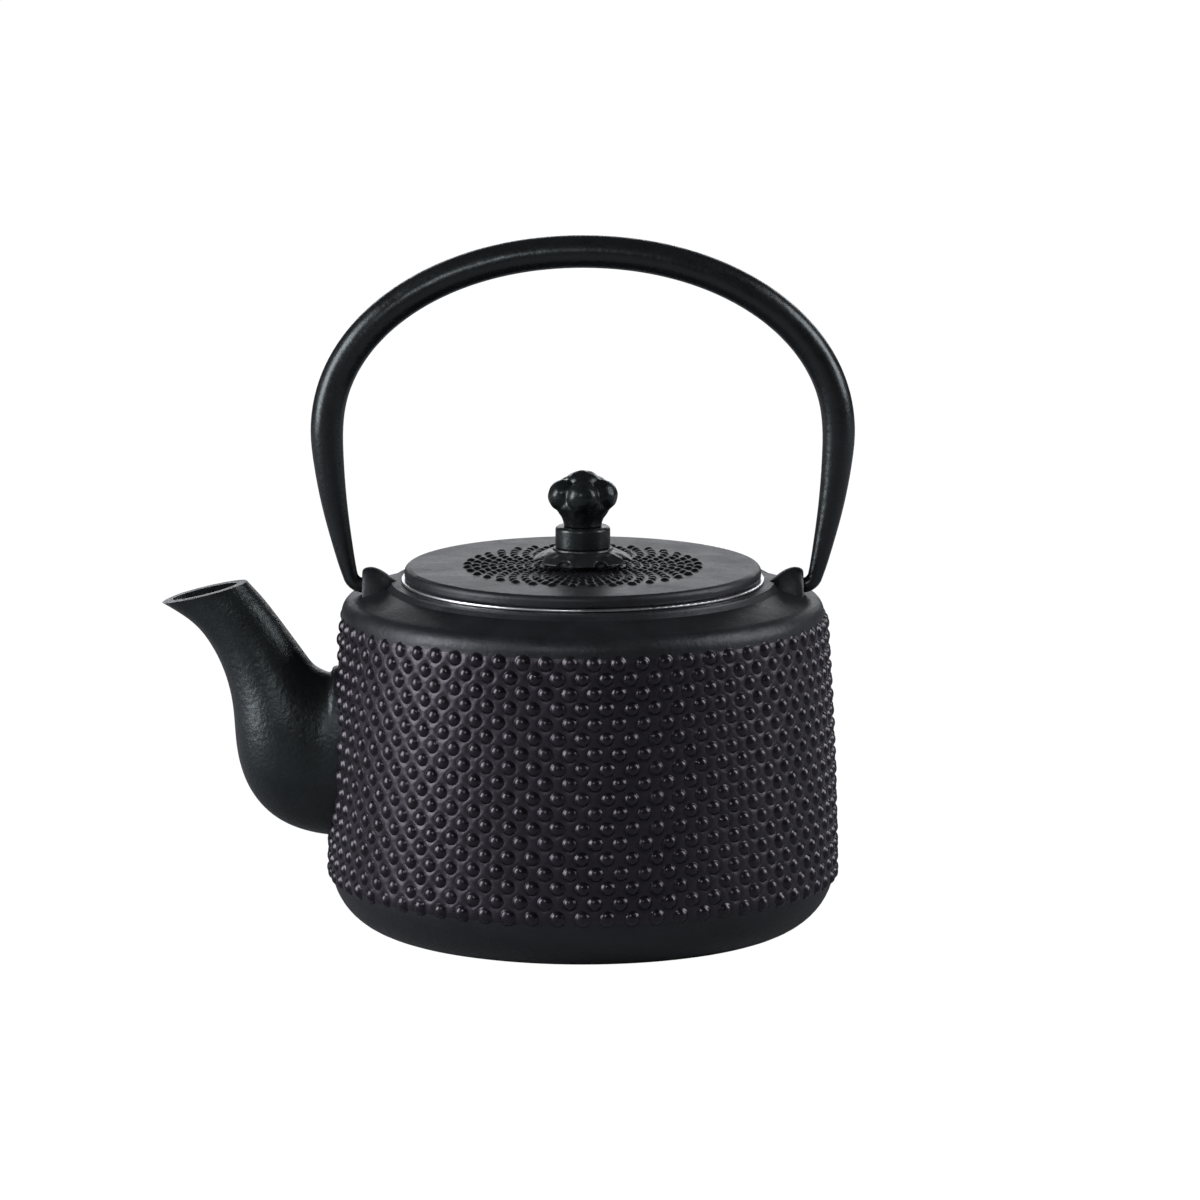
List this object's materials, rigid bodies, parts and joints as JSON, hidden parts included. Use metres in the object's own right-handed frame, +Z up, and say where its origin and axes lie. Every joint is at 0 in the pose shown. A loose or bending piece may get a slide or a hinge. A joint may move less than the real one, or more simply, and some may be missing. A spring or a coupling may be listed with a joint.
{
  "type": "cast iron teapot",
  "caption": "Cast iron teapot with a hobnail drum body, curved spout, swinging bail handle, flat lid with a blossom knob and a lift-out stainless mesh infuser.",
  "frame": {"origin": "on the pot's axis, in the plane of its flat base", "axes": "+Z up, spout towards -X, the handle's pivot along X; the shortest extent is along Y"},
  "size_m": [0.2018, 0.1474, 0.2036],
  "materials": {
    "cast_iron": "matte black, fine sand-cast grain",
    "cast_iron_handle": "satin black, lightly grained",
    "cast_iron_lid": "matte black",
    "knob_metal": "semi-gloss black",
    "fastener_steel": "plain zinc-plated",
    "stainless_sheet": "bright pressed stainless",
    "stainless_mesh": "fine woven stainless wire"
  },
  "bodies": {
    "pot": {"pot_body": "cast_iron", "spout": "cast_iron"},
    "handle": {"handle_bail": "cast_iron_handle"},
    "infuser": {"infuser_rim": "stainless_sheet", "infuser_band": "stainless_sheet", "infuser_basket": "stainless_mesh"},
    "lid": {"lid_plate": "cast_iron_lid", "petal_washer": "knob_metal", "knob_collar": "knob_metal", "knob": "knob_metal", "knob_stud": "fastener_steel", "lid_inner_washer": "fastener_steel", "knob_nut": "fastener_steel"}
  },
  "joints": [
    {"name": "handle_swing", "type": "hinge", "parent": "pot", "child": "handle", "pos_m": [0, 0, 0.1007], "axis": [1, 0, 0], "range_deg": [-95, 95]},
    {"name": "infuser_lift", "type": "slide", "parent": "pot", "child": "infuser", "axis": [0, 0, 1], "range_m": [0, 0.056]},
    {"name": "lid_lift", "type": "slide", "parent": "infuser", "child": "lid", "axis": [0, 0, 1], "range_m": [0, 0.056]}
  ]
}
